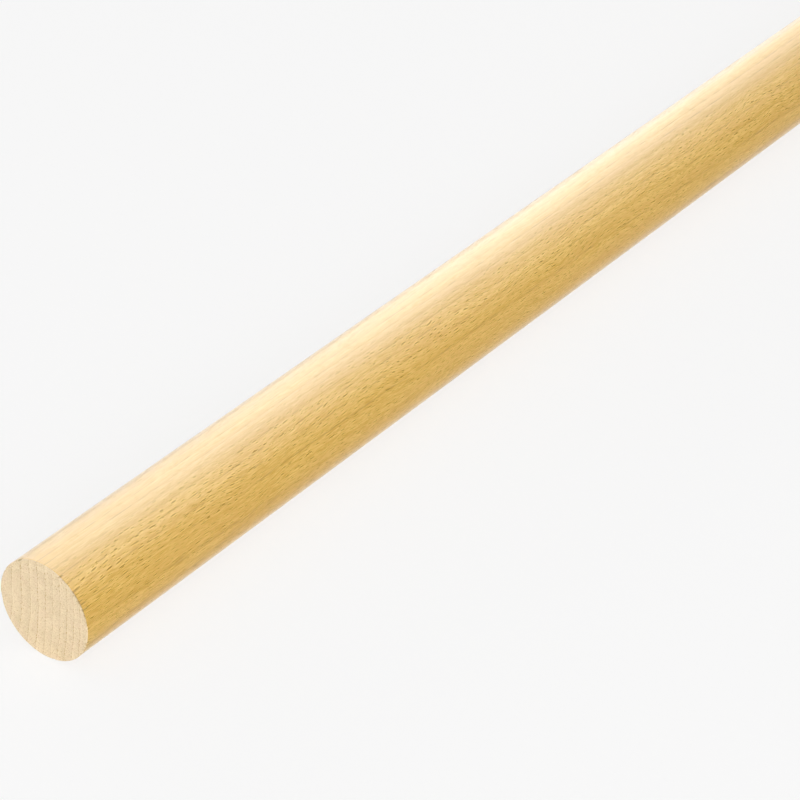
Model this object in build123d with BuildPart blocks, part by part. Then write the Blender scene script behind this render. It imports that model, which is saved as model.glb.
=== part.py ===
"""A straight beech dowel rod: one turned piece of wood, sawn square at both ends.

The rod lies along X on the plane Z = 0, as it comes to rest on a bench. The origin is
under its middle. Sizes are in millimetres.
"""

import os

from build123d import *

# Driving dimensions
rod_diameter = 40.0
rod_length = 1000.0
# Bevel that a pass of abrasive paper leaves on the sharp edge of a sawn end
arris_bevel = 0.3

# The rod's axis is one radius above the bench, and this plane cuts it at mid-length
rod_radius = rod_diameter / 2
rod_middle = (0, 0, rod_radius)
mid_section = Plane(origin=rod_middle, x_dir=Axis.Y.direction, z_dir=Axis.X.direction)

# The round section, run both ways from the middle, with the rim of each end eased
with BuildPart() as dowel_rod:
    with BuildSketch(mid_section):
        Circle(radius=rod_radius)
    extrude(amount=rod_length / 2, both=True)
    sawn_ends = dowel_rod.faces().filter_by(Axis.X)
    chamfer(sawn_ends.edges(), length=arris_bevel)

dowel_rod.part.label = "dowel_rod"
os.makedirs("parts", exist_ok=True)
export_step(dowel_rod.part, "parts/dowel_rod.step")
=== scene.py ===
"""Looks of a straight beech dowel rod that lies on a pale studio floor.

The rod is one mesh with two finishes: the planed and sanded side, and the sawn ends. Both read the
same block of beech, so rings, rays and fibres run through the wood from the side into the ends.
Lengths are in metres where they place things, and in millimetres inside the grain.
"""

import math

import bmesh
import bpy
from mathutils import Matrix, Vector, noise


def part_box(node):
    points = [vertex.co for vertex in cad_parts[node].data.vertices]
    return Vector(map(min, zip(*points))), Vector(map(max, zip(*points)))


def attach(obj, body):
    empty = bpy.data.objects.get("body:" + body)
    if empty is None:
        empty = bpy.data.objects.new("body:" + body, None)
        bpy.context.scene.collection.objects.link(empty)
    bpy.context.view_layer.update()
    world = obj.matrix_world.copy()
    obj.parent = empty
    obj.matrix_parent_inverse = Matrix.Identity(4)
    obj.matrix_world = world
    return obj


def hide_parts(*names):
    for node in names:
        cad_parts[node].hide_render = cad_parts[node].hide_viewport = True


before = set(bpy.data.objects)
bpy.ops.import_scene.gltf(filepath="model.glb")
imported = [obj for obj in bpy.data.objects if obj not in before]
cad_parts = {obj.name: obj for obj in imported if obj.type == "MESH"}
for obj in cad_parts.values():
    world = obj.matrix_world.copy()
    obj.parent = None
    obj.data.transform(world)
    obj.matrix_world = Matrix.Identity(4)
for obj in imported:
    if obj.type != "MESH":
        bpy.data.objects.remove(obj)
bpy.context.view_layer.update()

MM = 0.001

# The rod, from the frame
ROD_NODE = "dowel_rod"
rod_low, rod_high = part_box(ROD_NODE)
ROD_RADIUS = (rod_high.y - rod_low.y) / 2
NEAR_END = rod_low.x
FAR_END = rod_high.x
ROD_MIDDLE = (NEAR_END + FAR_END) / 2
ROD_AXIS = Vector((0.0, (rod_low.y + rod_high.y) / 2, ROD_RADIUS))

# Mesh of the rod: the bevel of its rims, its steps round, the rings on each sawn face, and the pitch
# of the loops along its side
ARRIS = 0.3 * MM
ROUND_STEPS = 480
FACE_RINGS = 12
LOOP_PITCH = 25 * MM
# Distances from a sawn end, in mm, of the loops that hold the small damage at its rim
RIM_LOOPS = (0.45, 0.7, 1.0, 1.4, 1.9, 2.5, 3.2, 4.2, 6.0, 10.0)
# The two finishes, and how far a face's normal leans towards an end where the sawn one starts
SIDE_FINISH = 0
SAWN_FINISH = 1
SAWN_LEAN = 0.5
# Bake map, as shares of its width: the square that holds a sawn end, and the margin round each patch
MAP_DISC_SHARE = 0.165
MAP_GAP_SHARE = 0.004

# Planing leaves the rod a little out of round, and a little uneven along its length
OUT_OF_ROUND = 0.03 * MM
LOBES = 3
PLANING_WAVE = 0.02 * MM
PLANING_WAVE_LENGTH = 120 * MM
# The saw leaves faint arcs on the ends
SAW_MARK = 0.012 * MM
SAW_MARK_PITCH = 3.4 * MM
SAW_CENTRE = Vector((0.0, 0.07, -0.12))

# Chips on the rims: degrees round from the top towards -Y, reach each way along the rim in mm,
# depth in mm and how dark the chip is painted, as painted shade in it over its torn wood
NEAR_CHIPS = (
    (-28.7, 1.2, 0.12, 0.8),
    (-59.7, 0.5, 0.16, 0.4),
    (26.0, 0.5, 0.18, 0.9),
    (31.0, 0.9, 0.08, 0.5),
    (37.0, 1.2, 0.06, 0.35),
    (46.0, 0.8, 0.16, 1.0),
    (50.5, 1.2, 0.14, 0.9),
    (56.0, 4.4, 0.10, 0.75),
    (57.5, 1.4, 0.18, 1.0),
    (61.5, 1.0, 0.14, 0.9),
    (66.5, 0.8, 0.18, 1.0),
    (73.0, 2.2, 0.10, 0.65),
    (80.0, 1.5, 0.08, 0.45),
    (118.0, 0.8, 0.14, 0.3),
    (171.0, 1.0, 0.14, 0.3),
    (-97.0, 2.6, 0.10, 0.35),
)
FAR_CHIPS = (
    (12.0, 0.9, 0.20, 0.5),
    (77.0, 1.2, 0.26, 0.7),
    (82.0, 0.8, 0.18, 0.5),
    (-51.0, 0.8, 0.18, 0.5),
    (-140.0, 1.1, 0.22, 0.5),
)
# A chip runs in from the rim for this many times its depth
CHIP_RUN = 2
# Fibres torn back from the rim along the side, painted only as dark lines of shade with no relief:
# degrees, length in mm and darkness
NEAR_SPLITS = (
    (26.0, 1.6, 0.9),
    (45.5, 2.6, 1.0),
    (57.0, 2.0, 0.8),
    (60.5, 3.2, 1.0),
    (66.5, 3.4, 1.0),
    (88.0, 1.6, 0.5),
)
FAR_SPLITS = (
    (12.0, 1.4, 0.5),
    (77.5, 2.6, 0.7),
    (-140.0, 1.8, 0.5),
)
# Reach of a split each way along the rim in mm, and how late it fades along its length
SPLIT_REACH = 0.28
SPLIT_BLUNTNESS = 3
# The painted shade of the chips and torn wood shows on the side of the rim, and only faintly on a
# narrow band of the sawn face
TEAR_AND_SHADE = "torn_fibres_and_shade"
TEAR_AND_SHADE_ON_FACE = 0.3
TEAR_BAND = 4 * ARRIS

# Beech, in mm. The pith of the tree lies beside the rod, so the rings cross the end nearly upright
PITH_REACH = 160.0
PITH_RISE = 16.0
PITH = (NEAR_END, PITH_REACH * MM, ROD_RADIUS + PITH_RISE * MM)
GRAIN_TILT = (0.0, math.radians(0.25), math.radians(-0.35))
# Lengths in the block over which the rings and the fibres wander, and how far they do
RING_WAVER = (110.0, 18.0, 18.0)
RING_WAVER_PUSH = 1.8
RING_RIPPLE = (90.0, 4.0, 7.0)
RING_RIPPLE_PUSH = 0.7
FIBRE_SWAY = (70.0, 12.0, 1.0)
FIBRE_SWAY_PUSH = 6.0
# Rings, and the shares of one where its dark line starts, is full and fades and its pale start ends
FIRST_RING = 146.5
RINGS_PER_MM = 0.225
RING_NARROWING = 0.0021
LINE_START_SHARE = 0.84
LINE_FULL_SHARE = 0.96
LINE_FADE_SHARE = 0.965
PALE_START_SHARE = 0.14
# A ring's line is broken into dots: their lengths, the levels of noise that part them, and how
# strong the line is in the gaps and in the dots
LINE_DOTS = (9.0, 0.8, 1.2)
LINE_DOT_LEVELS = (-0.03, 0.12)
LINE_DOT_STRENGTHS = (0.2, 1.3)
# The faintest ring line or ray, as a share of the strongest
FAINTEST_SHARE = 0.4
# Rays: the cell of wood that holds one, and the greatest height and width
RAYS = {
    "Large": ((5.2, 1.45, 14.0), 4.2, 0.29),
    "Small": ((3.2, 0.8, 9.0), 2.6, 0.20),
}
LEAST_RAY_HEIGHT_SHARE = 0.4
LEAST_RAY_WIDTH_SHARE = 0.7
RAY_SCATTER = 0.95
RAY_BLUNTNESS = 3.0
RAY_EDGE = 0.45
RAY_SHARE_OF_FLANK = 0.28
FLANK_EDGE = 0.6
# Lengths of the fibres, streaks and slow changes of tone
BLOTCHES = {
    "Fibre": (6.0, 0.25, 0.25),
    "Streak": (42.0, 0.9, 0.9),
    "Tone": (240.0, 6.0, 6.0),
    "Figure": (4.5, 0.5, 0.5),
    "Blush": (45.0, 4.0, 4.0),
    "Pores": (4.0, 0.4, 0.4),
}
# Spots of the end grain: the cell of wood that holds one, and their radius. More faintness leaves
# fewer strong ones
OPEN_PORE_CELL = (7.0, 0.85, 0.85)
RAISED_GRAIN_CELL = (7.0, 1.0, 1.0)
RAISED_GRAIN_SHIFT = (3.1, 0.4, 0.4)
SPOT_RADIUS = 0.27
SPOT_CORE_SHARE = 0.4
SPOT_FAINTNESS = 2.0

# Sanded side: its wood from pale to deep, then what lies in it
SIDE_PALE = (0.82, 0.546, 0.152, 1)
SIDE_DEEP = (0.64, 0.366, 0.058, 1)
SIDE_BLUSH = (0.745, 0.442, 0.13, 1)
SIDE_RING_LINE = (0.42, 0.22, 0.045, 1)
# Painted highlight on the fibres that bend round each ray
SIDE_FLANK_HIGHLIGHT = (0.96, 0.685, 0.16, 1)
SIDE_SMALL_RAYS = (0.34, 0.15, 0.0, 1)
SIDE_LARGE_RAYS = (0.26, 0.105, 0.0, 1)
# Painted shade in the chips and splits at the rims, over their torn wood
SIDE_TORN_AND_SHADE = (0.17, 0.085, 0.015, 1)
SIDE_ROUGHNESS = 0.44
SIDE_RELIEF = 0.02 * MM
SIDE_SHEEN = 1.0
SIDE_SHEEN_ROUGHNESS = 0.25
# Shares of the radius, sideways, where the rays start to be cut across and are wholly so
RAYS_FLAT_SHARE = 0.15
RAYS_CROSSED_SHARE = 0.8
FLAT_RAY_STRENGTH = 0.1

# Sawn end: its wood from pale to deep, then what lies in it
END_PALE = (0.92, 0.745, 0.50, 1)
END_DEEP = (0.75, 0.59, 0.36, 1)
END_BLUSH = (0.85, 0.645, 0.445, 1)
END_RING_LINE = (0.57, 0.35, 0.11, 1)
END_RING_START = (0.96, 0.80, 0.56, 1)
END_SMALL_RAYS = (0.95, 0.79, 0.55, 1)
END_LARGE_RAYS = (0.97, 0.82, 0.58, 1)
END_RAISED_GRAIN = (0.98, 0.84, 0.60, 1)
END_OPEN_PORES = (0.55, 0.34, 0.12, 1)
# Painted shade in the chips and splits at the rims, over their torn wood
END_TORN_AND_SHADE = (0.20, 0.11, 0.03, 1)
END_ROUGHNESS = 0.8
END_RELIEF = 0.04 * MM

# Both finishes are bare wood, which mirrors little
WOOD_SPECULAR = 0.25

# Camera, matched to the rod's end and outline in the photograph
CAMERA_PLACE = (-1.1239, -0.6111, 0.6582)
CAMERA_AZIMUTH = -53.69
CAMERA_ELEVATION = 32.55
CAMERA_LENS = 139.83
CAMERA_SENSOR = 36.0

# Floor and light
FLOOR_REACH = 20.0
FLOOR_COLOUR = (0.97, 0.97, 0.97, 1)
FLOOR_WHITE_SHARE = 0.79
TENT_LIGHT = 0.42
LIT_POINT = Vector((-0.2, 0.0, 0.0))
GLOSS_CARD_DISTANCE = 4.0
GLOSS_CARD_WIDTH = 2.4


def as_input(tree, socket, value):
    """Links a socket to another, or sets its value."""
    if isinstance(value, bpy.types.NodeSocket):
        tree.links.new(value, socket)
    else:
        socket.default_value = value


def calc(tree, operation, first, second=None, third=None):
    """One Math node, and its output."""
    node = tree.nodes.new("ShaderNodeMath")
    node.operation = operation
    for socket, value in zip(node.inputs, (first, second, third)):
        if value is not None:
            as_input(tree, socket, value)
    return node.outputs[0]


def add_up(tree, start, terms):
    """A sum of masks, each times its weight."""
    total = start
    for mask, weight in terms:
        total = calc(tree, "MULTIPLY_ADD", mask, weight, total)
    return total


def between(tree, share, low, high):
    """A number that goes from low to high as a share goes from 0 to 1."""
    return calc(tree, "MULTIPLY_ADD", share, high - low, low)


def vector_calc(tree, operation, first, second):
    """One Vector Math node, and its vector output."""
    node = tree.nodes.new("ShaderNodeVectorMath")
    node.operation = operation
    as_input(tree, node.inputs[0], first)
    as_input(tree, node.inputs[1], second)
    return node.outputs["Vector"]


def together(tree, x, y, z):
    """Three numbers as a vector."""
    node = tree.nodes.new("ShaderNodeCombineXYZ")
    for socket, value in zip(node.inputs, (x, y, z)):
        as_input(tree, socket, value)
    return node.outputs[0]


def apart(tree, vector):
    """A vector's three numbers."""
    node = tree.nodes.new("ShaderNodeSeparateXYZ")
    as_input(tree, node.inputs[0], vector)
    return node.outputs[0], node.outputs[1], node.outputs[2]


def ramp(tree, value, low, high, at_low=0.0, at_high=1.0):
    """A smooth step from one value to another as the input goes from low to high."""
    node = tree.nodes.new("ShaderNodeMapRange")
    node.interpolation_type = "SMOOTHSTEP"
    for socket, given in zip(node.inputs, (value, low, high, at_low, at_high)):
        as_input(tree, socket, given)
    return node.outputs["Result"]


def stretched_noise(tree, place, lengths, detail=2.0):
    """Noise about zero, in blotches of these lengths along the grain, round the rings and outwards."""
    node = tree.nodes.new("ShaderNodeTexNoise")
    as_input(tree, node.inputs["Vector"], vector_calc(tree, "DIVIDE", place, lengths))
    node.inputs["Scale"].default_value = 1.0
    node.inputs["Detail"].default_value = detail
    return calc(tree, "SUBTRACT", node.outputs[0], 0.5)


def wood_cells(tree, place, cell, scatter):
    """Scattered cells of the wood: the way from the middle of the cell here, and its three chances."""
    cells = tree.nodes.new("ShaderNodeTexVoronoi")
    cells.inputs["Scale"].default_value = 1.0
    cells.inputs["Randomness"].default_value = scatter
    scaled = vector_calc(tree, "DIVIDE", place, cell)
    as_input(tree, cells.inputs["Vector"], scaled)
    offset = vector_calc(tree, "SUBTRACT", scaled, cells.outputs["Position"])
    chances = tree.nodes.new("ShaderNodeSeparateColor")
    as_input(tree, chances.inputs[0], cells.outputs["Color"])
    return apart(tree, vector_calc(tree, "MULTIPLY", offset, cell)), chances.outputs


def colour_mix(tree, factor, first, second):
    """One Mix node for colours, whose colour sockets are inputs 6 and 7 and output 2."""
    node = tree.nodes.new("ShaderNodeMix")
    node.data_type = "RGBA"
    as_input(tree, node.inputs["Factor"], factor)
    as_input(tree, node.inputs[6], first)
    as_input(tree, node.inputs[7], second)
    return node.outputs[2]


def stained(tree, colour, stains):
    """A colour under stains, each given as a mask, its strength and its tint."""
    for mask, strength, tint in stains:
        colour = colour_mix(tree, calc(tree, "MULTIPLY", mask, strength), colour, tint)
    return colour


def ray_layer(tree, place, cell, height, width):
    """Medullary rays, one to a cell: thin dark lenses, and a painted highlight on the fibres that bend
    round them.
    """
    (along, across, _), chances = wood_cells(tree, place, cell, RAY_SCATTER)
    half_height = between(tree, chances[0], LEAST_RAY_HEIGHT_SHARE * height / 2, height / 2)
    half_width = between(tree, chances[2], LEAST_RAY_WIDTH_SHARE * width / 2, width / 2)
    tall = calc(tree, "DIVIDE", calc(tree, "ABSOLUTE", along), half_height)
    wide = calc(tree, "DIVIDE", calc(tree, "ABSOLUTE", across), half_width)
    blunt = calc(tree, "SUBTRACT", 1.0, calc(tree, "POWER", tall, RAY_BLUNTNESS))
    flank = calc(tree, "MULTIPLY", wide, RAY_SHARE_OF_FLANK)
    strength = between(tree, chances[1], FAINTEST_SHARE, 1.0)
    ray = ramp(tree, calc(tree, "SUBTRACT", blunt, wide), 0.0, RAY_EDGE)
    # A pale flank round the ray, painted as a highlight on its fibres
    fibres = ramp(tree, calc(tree, "SUBTRACT", blunt, flank), 0.0, FLANK_EDGE)
    return calc(tree, "MULTIPLY", ray, strength), calc(tree, "MULTIPLY", fibres, strength)


def spot_layer(tree, place, cell):
    """Small round spots on the end grain, one to a cell, most of them faint."""
    (_, across, outwards), chances = wood_cells(tree, place, cell, 1.0)
    squares = calc(tree, "MULTIPLY_ADD", across, across, calc(tree, "MULTIPLY", outwards, outwards))
    core = SPOT_CORE_SHARE * SPOT_RADIUS
    spot = ramp(tree, calc(tree, "SQRT", squares), core, SPOT_RADIUS, at_low=1.0, at_high=0.0)
    return calc(tree, "MULTIPLY", spot, calc(tree, "POWER", chances[0], SPOT_FAINTNESS))


def grain_place(tree, place):
    """Place in the tree: x along the grain, then the way round the rings and the distance outwards."""
    from_pith = tree.nodes.new("ShaderNodeMapping")
    from_pith.vector_type = "TEXTURE"
    from_pith.inputs["Location"].default_value = PITH
    from_pith.inputs["Rotation"].default_value = GRAIN_TILT
    from_pith.inputs["Scale"].default_value = (MM, MM, MM)
    as_input(tree, from_pith.inputs["Vector"], place)
    straight = from_pith.outputs[0]
    x, y, z = apart(tree, straight)
    squares = calc(tree, "MULTIPLY_ADD", y, y, calc(tree, "MULTIPLY", z, z))
    waver = stretched_noise(tree, straight, RING_WAVER)
    ripple = stretched_noise(tree, straight, RING_RIPPLE, detail=1.0)
    outwards = add_up(tree, calc(tree, "SQRT", squares), (
        (waver, RING_WAVER_PUSH),
        (ripple, RING_RIPPLE_PUSH),
    ))
    turn = calc(tree, "ARCTAN2", z, calc(tree, "MULTIPLY", y, -1.0))
    arc = calc(tree, "MULTIPLY", turn, PITH_REACH)
    sway = stretched_noise(tree, together(tree, x, arc, 0.0), FIBRE_SWAY, detail=1.0)
    around = calc(tree, "MULTIPLY_ADD", sway, FIBRE_SWAY_PUSH, arc)
    return together(tree, x, around, outwards), outwards


def ring_masks(tree, place, outwards):
    """Rings that narrow outwards: each starts pale, darkens slowly and ends in a thin line of dots."""
    span = calc(tree, "SUBTRACT", outwards, FIRST_RING)
    slope = calc(tree, "MULTIPLY_ADD", span, RING_NARROWING, RINGS_PER_MM)
    count = calc(tree, "MULTIPLY", span, slope)
    share = calc(tree, "FRACT", count)
    year = tree.nodes.new("ShaderNodeTexWhiteNoise")
    year.noise_dimensions = "1D"
    as_input(tree, year.inputs["W"], calc(tree, "FLOOR", count))
    vigour = between(tree, year.outputs["Value"], FAINTEST_SHARE, 1.0)
    rise = ramp(tree, share, LINE_START_SHARE, LINE_FULL_SHARE)
    fall = ramp(tree, share, LINE_FADE_SHARE, 1.0, at_low=1.0, at_high=0.0)
    line = calc(tree, "MULTIPLY", calc(tree, "MULTIPLY", rise, fall), vigour)
    breaks = stretched_noise(tree, place, LINE_DOTS, detail=1.0)
    dots = ramp(tree, breaks, *LINE_DOT_LEVELS, *LINE_DOT_STRENGTHS)
    start = ramp(tree, share, 0.0, PALE_START_SHARE, at_low=1.0, at_high=0.0)
    return {
        "Ring line": calc(tree, "MULTIPLY", line, dots),
        "Ring start": calc(tree, "MULTIPLY", start, vigour),
        "Ring shade": calc(tree, "SUBTRACT", ramp(tree, share, 0.0, 1.0), 0.5),
    }


def beech_block():
    """The block of beech that the rod was cut from, as a node group of masks."""
    tree = bpy.data.node_groups.new("beech_block", "ShaderNodeTree")
    tree.interface.new_socket("Place", in_out="INPUT", socket_type="NodeSocketVector")
    entry = tree.nodes.new("NodeGroupInput")
    place, outwards = grain_place(tree, entry.outputs["Place"])
    masks = ring_masks(tree, place, outwards)
    for size, (cell, height, width) in RAYS.items():
        rays, flank_highlights = ray_layer(tree, place, cell, height, width)
        masks[f"{size} rays"] = rays
        masks[f"{size} flanks"] = flank_highlights
    for name, lengths in BLOTCHES.items():
        masks[name] = stretched_noise(tree, place, lengths)
    masks["Open pores"] = spot_layer(tree, place, OPEN_PORE_CELL)
    shifted = vector_calc(tree, "ADD", place, RAISED_GRAIN_SHIFT)
    masks["Raised grain"] = spot_layer(tree, shifted, RAISED_GRAIN_CELL)

    leave = tree.nodes.new("NodeGroupOutput")
    for name, value in masks.items():
        tree.interface.new_socket(name, in_out="OUTPUT", socket_type="NodeSocketFloat")
        tree.links.new(value, leave.inputs[name])
    return tree


def new_material(name):
    """An empty material with its tree and its Principled shader."""
    material = bpy.data.materials.new(name)
    material.use_nodes = True
    tree = material.node_tree
    tree.nodes.clear()
    shader = tree.nodes.new("ShaderNodeBsdfPrincipled")
    output = tree.nodes.new("ShaderNodeOutputMaterial")
    tree.links.new(shader.outputs[0], output.inputs["Surface"])
    return material, tree, shader


def beech_masks(tree, block):
    """The block of beech, read at the rod's own coordinates."""
    where = tree.nodes.new("ShaderNodeTexCoord")
    group = tree.nodes.new("ShaderNodeGroup")
    group.node_tree = block
    tree.links.new(where.outputs["Object"], group.inputs["Place"])
    return group.outputs, where.outputs["Object"]


def torn_wood_and_shade(tree):
    """How dark the chips and splits are painted here, as shade over their torn fibres, from the mesh.
    """
    node = tree.nodes.new("ShaderNodeAttribute")
    node.attribute_name = TEAR_AND_SHADE
    return node.outputs["Fac"]


def raise_surface(tree, shader, height, depth):
    """A fine relief of this depth in metres on the shader."""
    node = tree.nodes.new("ShaderNodeBump")
    node.inputs["Strength"].default_value = 1.0
    node.inputs["Distance"].default_value = depth
    as_input(tree, node.inputs["Height"], height)
    tree.links.new(node.outputs[0], shader.inputs["Normal"])


def sanded_side(block):
    """Planed and sanded long grain: golden, with short dark ray flecks and a satin sheen."""
    material, tree, shader = new_material("beech_sanded_side")
    masks, where = beech_masks(tree, block)

    # Rays and fibres are cut across on the -Y and +Y sides, and lie flat and faint above and below
    sideways = calc(tree, "DIVIDE", calc(tree, "ABSOLUTE", apart(tree, where)[1]), ROD_RADIUS)
    crossing = ramp(tree, sideways, RAYS_FLAT_SHARE, RAYS_CROSSED_SHARE, at_low=FLAT_RAY_STRENGTH)
    small = calc(tree, "MULTIPLY", masks["Small rays"], crossing)
    large = calc(tree, "MULTIPLY", masks["Large rays"], crossing)
    rays = calc(tree, "MAXIMUM", large, small)
    flank_highlights = calc(tree, "MAXIMUM", masks["Large flanks"], masks["Small flanks"])
    flank_highlights = calc(tree, "MULTIPLY", flank_highlights, crossing)
    figure = add_up(tree, masks["Streak"], ((masks["Figure"], 2.2),))
    figure = calc(tree, "MULTIPLY", figure, crossing)

    tone = add_up(tree, 0.5, (
        (masks["Tone"], 0.7),
        (masks["Streak"], 0.15),
        (figure, 0.9),
        (masks["Fibre"], 1.6),
        (masks["Ring shade"], 0.2),
    ))
    blush = add_up(tree, 0.15, ((masks["Blush"], 1.2),))
    colour = stained(tree, colour_mix(tree, tone, SIDE_PALE, SIDE_DEEP), (
        (blush, 1.0, SIDE_BLUSH),
        (masks["Ring line"], 0.5, SIDE_RING_LINE),
        # painted highlight beside each ray
        (flank_highlights, 0.5, SIDE_FLANK_HIGHLIGHT),
        (small, 1.0, SIDE_SMALL_RAYS),
        (large, 1.0, SIDE_LARGE_RAYS),
        # painted shade in the chips and splits at the rims
        (torn_wood_and_shade(tree), 0.85, SIDE_TORN_AND_SHADE),
    ))
    as_input(tree, shader.inputs["Base Color"], colour)
    roughness = add_up(tree, SIDE_ROUGHNESS, (
        (masks["Fibre"], 0.15),
        (masks["Streak"], 0.1),
        (rays, 0.45),
    ))
    as_input(tree, shader.inputs["Roughness"], roughness)
    relief = add_up(tree, 0.0, ((masks["Fibre"], 0.5), (large, -0.4)))
    raise_surface(tree, shader, relief, SIDE_RELIEF)
    shader.inputs["Specular IOR Level"].default_value = WOOD_SPECULAR
    shader.inputs["Sheen Weight"].default_value = SIDE_SHEEN
    shader.inputs["Sheen Roughness"].default_value = SIDE_SHEEN_ROUGHNESS
    return material


def sawn_end(block):
    """Sawn end grain: paler and matt, with thin ring lines, fine rays and pores."""
    material, tree, shader = new_material("beech_sawn_end")
    masks, _ = beech_masks(tree, block)
    tone = add_up(tree, 0.5, (
        (masks["Tone"], 1.3),
        (masks["Pores"], 2.7),
        (masks["Ring shade"], 0.3),
    ))
    blush = add_up(tree, 0.12, ((masks["Blush"], 1.6),))
    colour = stained(tree, colour_mix(tree, tone, END_PALE, END_DEEP), (
        (blush, 1.0, END_BLUSH),
        (masks["Ring line"], 0.9, END_RING_LINE),
        (masks["Ring start"], 0.7, END_RING_START),
        (masks["Small rays"], 0.4, END_SMALL_RAYS),
        (masks["Large rays"], 0.45, END_LARGE_RAYS),
        (masks["Raised grain"], 0.7, END_RAISED_GRAIN),
        (masks["Open pores"], 0.85, END_OPEN_PORES),
        # painted shade in the chips and splits at the rims
        (torn_wood_and_shade(tree), 0.8, END_TORN_AND_SHADE),
    ))
    as_input(tree, shader.inputs["Base Color"], colour)
    relief = add_up(tree, 0.0, ((masks["Pores"], 0.6), (masks["Fibre"], 0.6)))
    raise_surface(tree, shader, relief, END_RELIEF)
    shader.inputs["Roughness"].default_value = END_ROUGHNESS
    shader.inputs["Specular IOR Level"].default_value = WOOD_SPECULAR
    return material


def rod_profile():
    """Half of the rod's long section as points of distance from the near end and radius."""
    length = FAR_END - NEAR_END
    flat = ROD_RADIUS - ARRIS
    inner = flat - 2 * ARRIS
    face = [(0.0, inner * step / FACE_RINGS) for step in range(FACE_RINGS + 1)]
    face += [(0.0, flat - ARRIS / 2), (0.0, flat)]
    rim = [(ARRIS, ROD_RADIUS)]
    rim += [(loop * MM, ROD_RADIUS) for loop in RIM_LOOPS]
    near = face + rim
    loops = round(length / LOOP_PITCH)
    side = [(length * step / loops, ROD_RADIUS) for step in range(1, loops)]
    far = [(length - x, radius) for x, radius in reversed(near)]
    return near + side + far


def rod_mesh():
    """The rod as one closed mesh, spun from half of its long section."""
    shape = bmesh.new()
    corners = [
        shape.verts.new((NEAR_END + x, ROD_AXIS.y, ROD_AXIS.z + radius))
        for x, radius in rod_profile()
    ]
    lines = [shape.edges.new(pair) for pair in zip(corners, corners[1:])]
    bmesh.ops.spin(
        shape, geom=corners + lines, cent=ROD_AXIS, axis=(1, 0, 0),
        angle=math.tau, steps=ROUND_STEPS, use_merge=True,
    )
    bmesh.ops.remove_doubles(shape, verts=shape.verts, dist=ARRIS / 100)
    bmesh.ops.recalc_face_normals(shape, faces=shape.faces)
    for face in shape.faces:
        face.smooth = True
        sawn = abs(face.normal.x) > SAWN_LEAN
        face.material_index = SAWN_FINISH if sawn else SIDE_FINISH
    return shape


def lay_out_map(shape):
    """A bake map: the side in two strips, one for each half of the length, and the ends below them."""
    layer = shape.loops.layers.uv.new("OFBake")
    disc = MAP_DISC_SHARE
    gap = MAP_GAP_SHARE
    strip = (1 - disc) / 2
    disc_scale = (disc / 2 - gap) / ROD_RADIUS
    for face in shape.faces:
        middle = face.calc_center_median() - ROD_AXIS
        far_half = middle.x > ROD_MIDDLE
        turn = math.atan2(middle.y, middle.z)
        for loop in face.loops:
            at = loop.vert.co - ROD_AXIS
            if face.material_index == SAWN_FINISH:
                across = disc * (far_half + 0.5) + at.y * disc_scale
                up = disc / 2 + at.z * disc_scale
            else:
                own = math.atan2(at.y, at.z)
                round_share = (turn + (own - turn + math.pi) % math.tau - math.pi) / math.tau + 0.5
                start = ROD_MIDDLE if far_half else NEAR_END
                long_share = (loop.vert.co.x - start) / (ROD_MIDDLE - NEAR_END)
                low = disc + strip * far_half
                across = gap + long_share * (1 - 2 * gap)
                up = low + gap + round_share * (strip - 2 * gap)
            loop[layer].uv = (across, up)


def rim_distance(angle, degrees):
    """Distance in mm along the rim between two angles in degrees."""
    return abs((angle - degrees + 180) % 360 - 180) * math.radians(ROD_RADIUS / MM)


def rim_damage_and_shade(angle, depth_in, chips, splits):
    """Depth in mm of chips, and darkness painted as shade in chips and splits, at an angle and a
    distance in mm from the rim.
    """
    depth = dark = 0.0
    for degrees, reach, deep, shade in chips:
        near = max(0.0, 1 - (rim_distance(angle, degrees) / reach) ** 2)
        fade = max(0.0, 1 - depth_in / (CHIP_RUN * deep))
        depth = max(depth, deep * near * fade)
        dark = max(dark, shade * near * fade)
    for degrees, long, shade in splits:
        near = max(0.0, 1 - rim_distance(angle, degrees) / SPLIT_REACH)
        fade = max(0.0, 1 - (depth_in / long) ** SPLIT_BLUNTNESS)
        dark = max(dark, shade * near * fade)
    return depth, dark


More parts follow.
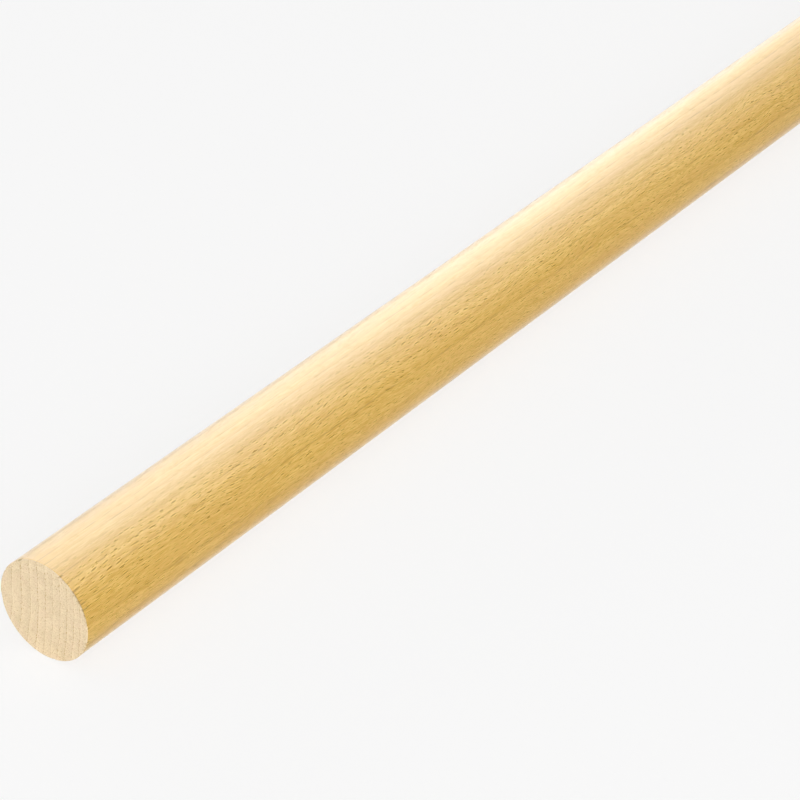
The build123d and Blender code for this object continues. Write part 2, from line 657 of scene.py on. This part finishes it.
def wear_surface(shape):
    """Gives the mesh its slight planing waves and saw marks, chips its rims, and paints shade into the
    chips and splits.
    """
    tear_and_shade = shape.verts.layers.float.new(TEAR_AND_SHADE)
    ends = ((NEAR_END, 1.0, NEAR_CHIPS, NEAR_SPLITS), (FAR_END, -1.0, FAR_CHIPS, FAR_SPLITS))
    for corner in shape.verts:
        place = corner.co.copy()
        spoke = Vector((0.0, place.y - ROD_AXIS.y, place.z - ROD_AXIS.z))
        reach = spoke.length
        turn = math.atan2(-spoke.y, spoke.z)
        outwards = spoke.normalized()
        on_side = reach > ROD_RADIUS - ARRIS / 2
        if on_side:
            wave = noise.noise(Vector((place.x / PLANING_WAVE_LENGTH, outwards.y, outwards.z)))
            corner.co -= outwards * OUT_OF_ROUND * (1 - math.cos(LOBES * turn)) / 2
            corner.co -= outwards * PLANING_WAVE * (1 - wave) / 2
        for end_x, inwards, chips, splits in ends:
            from_end = abs(place.x - end_x)
            if from_end > RIM_LOOPS[-1] * MM:
                continue
            if not on_side:
                arc = (place - SAW_CENTRE).yz.length / SAW_MARK_PITCH
                corner.co.x += inwards * SAW_MARK * (1 + math.sin(math.tau * arc)) / 2
            if reach > ROD_RADIUS - TEAR_BAND:
                from_rim = max(0.0, max(from_end, ROD_RADIUS - reach) - ARRIS)
                fibres = splits if on_side else ()
                depth, dark = rim_damage_and_shade(math.degrees(turn), from_rim / MM, chips, fibres)
                corner.co -= outwards * depth * MM
                corner.co.x += inwards * depth * MM / 2
                # The darkness is painted shade, kept in a mesh attribute
                corner[tear_and_shade] = dark if on_side else dark * TEAR_AND_SHADE_ON_FACE


def build_rod():
    """The dowel rod, in place of its plain solid."""
    shape = rod_mesh()
    lay_out_map(shape)
    wear_surface(shape)
    mesh = bpy.data.meshes.new("dowel_rod_beech")
    shape.to_mesh(mesh)
    shape.free()
    rod = bpy.data.objects.new("dowel_rod_beech", mesh)
    bpy.context.scene.collection.objects.link(rod)
    block = beech_block()
    mesh.materials.append(sanded_side(block))
    mesh.materials.append(sawn_end(block))
    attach(rod, "root")
    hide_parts(ROD_NODE)


def seen_white(tree):
    """1 on camera, glossy and transmission rays, which see the white ground, and 0 on the rest."""
    path = tree.nodes.new("ShaderNodeLightPath")
    seen = calc(tree, "MAXIMUM", path.outputs["Is Camera Ray"], path.outputs["Is Glossy Ray"])
    return calc(tree, "MAXIMUM", seen, path.outputs["Is Transmission Ray"])


def pale_floor():
    """A plain white floor under the rod, which keeps a soft shadow."""
    shape = bmesh.new()
    bmesh.ops.create_grid(shape, x_segments=1, y_segments=1, size=FLOOR_REACH)
    mesh = bpy.data.meshes.new("studio_floor")
    shape.to_mesh(mesh)
    shape.free()
    floor = bpy.data.objects.new("studio_floor", mesh)
    bpy.context.scene.collection.objects.link(floor)
    material, tree, shader = new_material("pale_floor")
    shader.inputs["Base Color"].default_value = FLOOR_COLOUR
    shader.inputs["Roughness"].default_value = 1.0
    shader.inputs["Specular IOR Level"].default_value = 0.0
    white = tree.nodes.new("ShaderNodeEmission")
    blend = tree.nodes.new("ShaderNodeMixShader")
    as_input(tree, blend.inputs[0], calc(tree, "MULTIPLY", seen_white(tree), FLOOR_WHITE_SHARE))
    tree.links.new(shader.outputs[0], blend.inputs[1])
    tree.links.new(white.outputs[0], blend.inputs[2])
    tree.links.new(blend.outputs[0], tree.nodes["Material Output"].inputs["Surface"])
    mesh.materials.append(material)


def light_tent():
    """Even white light from all round."""
    world = bpy.data.worlds.new("light_tent")
    bpy.context.scene.world = world
    world.use_nodes = True
    tree = world.node_tree
    tree.nodes.clear()
    background = tree.nodes.new("ShaderNodeBackground")
    background.inputs["Color"].default_value = (1, 1, 1, 1)
    strength = between(tree, seen_white(tree), TENT_LIGHT, 1.0)
    as_input(tree, background.inputs["Strength"], strength)
    output = tree.nodes.new("ShaderNodeOutputWorld")
    tree.links.new(background.outputs[0], output.inputs["Surface"])


def soft_box(name, direction, long_way, distance, size, brightness):
    """A soft box that faces the rod's near half; size is its width, and its length along long_way."""
    lamp = bpy.data.lights.new(name, "AREA")
    lamp.shape = "RECTANGLE"
    lamp.size, lamp.size_y = size
    lamp.energy = brightness * math.pi * lamp.size * lamp.size_y
    box = bpy.data.objects.new(name, lamp)
    back = Vector(direction).normalized()
    along = Vector(long_way)
    along = (along - along.dot(back) * back).normalized()
    box.location = LIT_POINT + back * distance
    box.rotation_euler = Matrix((along.cross(back), along, back)).transposed().to_euler()
    box.visible_camera = False
    bpy.context.scene.collection.objects.link(box)
    return box


def gloss_cards(name, direction, long_way, length, brightness):
    """A bright card past each end, which shows only as satin gloss along the rod."""
    onwards, sideways, up = direction
    size = (GLOSS_CARD_WIDTH, length)
    for end, way in (("far", 1.0), ("near", -1.0)):
        past_end = (way * onwards, sideways, up)
        card = soft_box(f"{end}_{name}", past_end, long_way, GLOSS_CARD_DISTANCE, size, brightness)
        card.visible_diffuse = False


def studio_light():
    """Three soft boxes, and gloss cards from low behind the rod round to its near side."""
    soft_box(
        "side_soft_box", direction=(0.20, -0.80, 0.56), long_way=(0.0, 1.0, 0.0),
        distance=4.0, size=(2.0, 2.0), brightness=1.5,
    )
    soft_box(
        "front_soft_box", direction=(-0.78, -0.52, 0.40), long_way=(0.0, 0.0, 1.0),
        distance=3.0, size=(2.4, 2.0), brightness=3.15,
    )
    soft_box(
        "rear_soft_box", direction=(0.50, 0.85, 0.16), long_way=(0.0, 0.15, -0.98),
        distance=3.0, size=(3.0, 0.9), brightness=3.2,
    )
    gloss_cards(
        "low_gloss_card", direction=(0.574, 0.81, 0.12), long_way=(0.0, 0.15, -0.98),
        length=0.9, brightness=5.0,
    )
    gloss_cards(
        "back_gloss_card", direction=(0.574, 0.535, 0.615), long_way=(0.0, 0.75, -0.65),
        length=2.9, brightness=10.6,
    )
    gloss_cards(
        "top_gloss_card", direction=(0.574, 0.10, 0.81), long_way=(0.0, 1.0, 0.0),
        length=2.4, brightness=12.2,
    )
    gloss_cards(
        "side_gloss_card", direction=(0.574, -0.46, 0.68), long_way=(0.0, 0.83, 0.56),
        length=2.0, brightness=7.6,
    )


def photograph_camera():
    """The camera that looks at the near end as the photograph does."""
    data = bpy.data.cameras.new("camera")
    data.sensor_width = CAMERA_SENSOR
    data.lens = CAMERA_LENS
    camera = bpy.data.objects.new("camera", data)
    camera.location = CAMERA_PLACE
    camera.rotation_euler = (math.radians(90 - CAMERA_ELEVATION), 0.0, math.radians(CAMERA_AZIMUTH))
    bpy.context.scene.collection.objects.link(camera)
    bpy.context.scene.camera = camera


build_rod()
pale_floor()
light_tent()
studio_light()
photograph_camera()
bpy.context.scene.view_settings.view_transform = "Standard"
